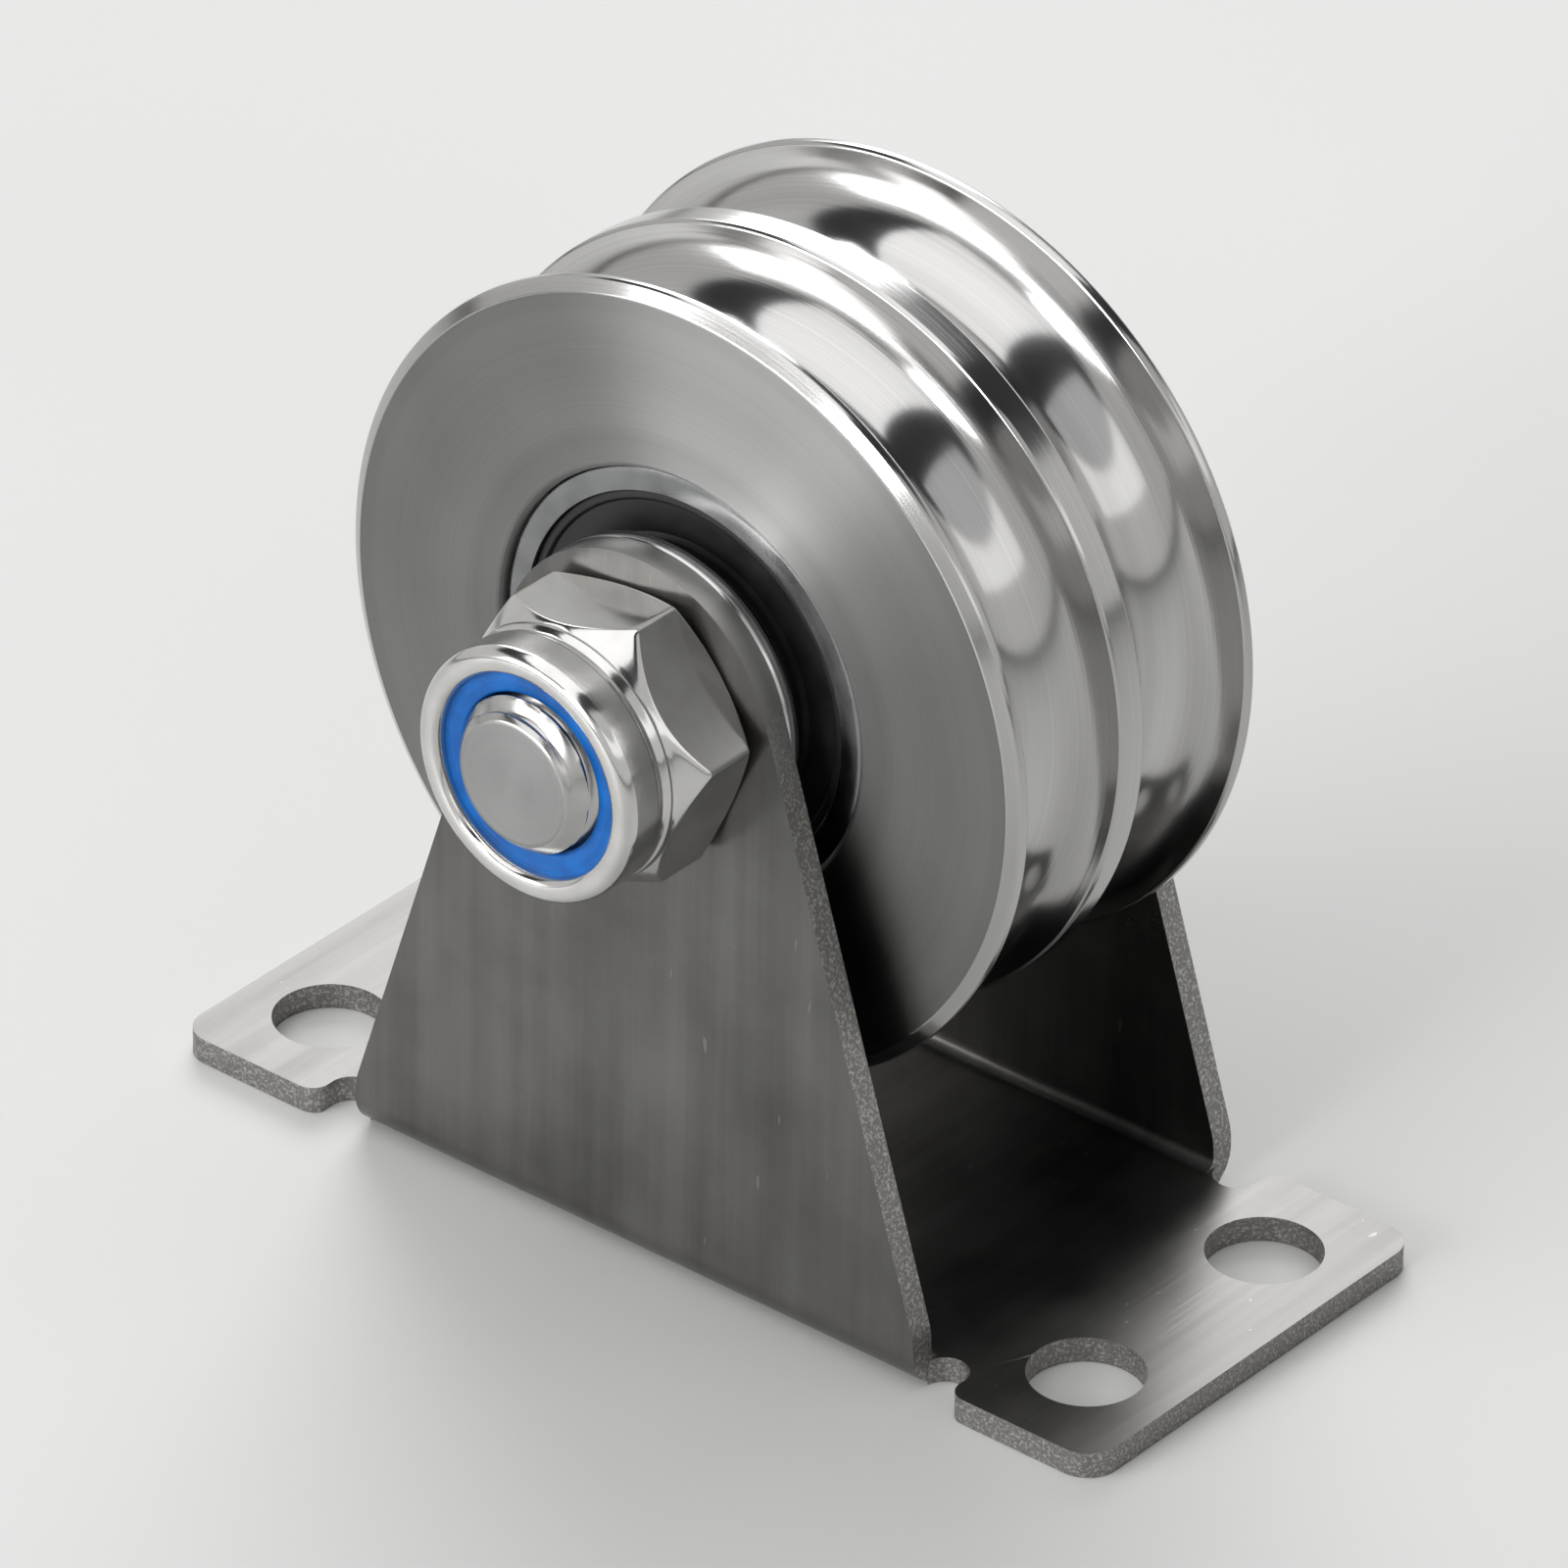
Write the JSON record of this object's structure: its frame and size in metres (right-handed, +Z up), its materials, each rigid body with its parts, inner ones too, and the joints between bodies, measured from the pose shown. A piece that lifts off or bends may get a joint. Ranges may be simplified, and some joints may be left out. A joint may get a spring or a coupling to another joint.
{
  "type": "double groove pulley",
  "caption": "Grooved wheel on ball bearings, carried by a bolt in a bracket folded from steel sheet, for guiding a rope or cable from a flat surface.",
  "frame": {"origin": "middle of the base plate's underside", "axes": "+X along the base plate, +Z up from the surface it is fixed to, wheel axis along Y with the lock nut towards -Y"},
  "size_m": [0.084, 0.0561, 0.0756],
  "materials": {
    "sheet_steel": "satin stainless sheet with a fine grain and cut edges",
    "turned_steel": "turned stainless, satin faces and polished grooves",
    "fastener_steel": "bright stainless",
    "bearing_steel": "ground bearing steel",
    "cage_steel": "pressed steel",
    "seal_rubber": "black nitrile rubber",
    "blue_nylon": "blue nylon"
  },
  "bodies": {
    "frame": {"bracket": "sheet_steel", "axle_bolt": "fastener_steel", "lock_nut": "fastener_steel", "nut_insert": "blue_nylon", "near_spacer": "turned_steel", "far_spacer": "turned_steel", "centre_sleeve": "turned_steel", "near_inner_ring": "bearing_steel", "far_inner_ring": "bearing_steel"},
    "wheel": {"wheel": "turned_steel", "near_outer_ring": "bearing_steel", "near_outer_seal": "seal_rubber", "near_inner_seal": "seal_rubber", "far_outer_ring": "bearing_steel", "far_outer_seal": "seal_rubber", "far_inner_seal": "seal_rubber"},
    "near_cage": {"near_cage": "cage_steel", "near_balls": "bearing_steel"},
    "far_cage": {"far_cage": "cage_steel", "far_balls": "bearing_steel"}
  },
  "joints": [
    {"name": "wheel_spin", "type": "hinge", "parent": "frame", "child": "wheel", "pos_m": [0, 0, 0.0456], "axis": [0, 1, 0], "continuous": true},
    {"name": "near_cage_spin", "type": "hinge", "parent": "frame", "child": "near_cage", "pos_m": [0, 0, 0.0456], "axis": [0, 1, 0], "continuous": true},
    {"name": "far_cage_spin", "type": "hinge", "parent": "frame", "child": "far_cage", "pos_m": [0, 0, 0.0456], "axis": [0, 1, 0], "continuous": true}
  ],
  "couplings": [
    {"joint": "near_cage_spin", "follows": "wheel_spin", "ratio": 0.6341},
    {"joint": "far_cage_spin", "follows": "wheel_spin", "ratio": 0.6341}
  ]
}
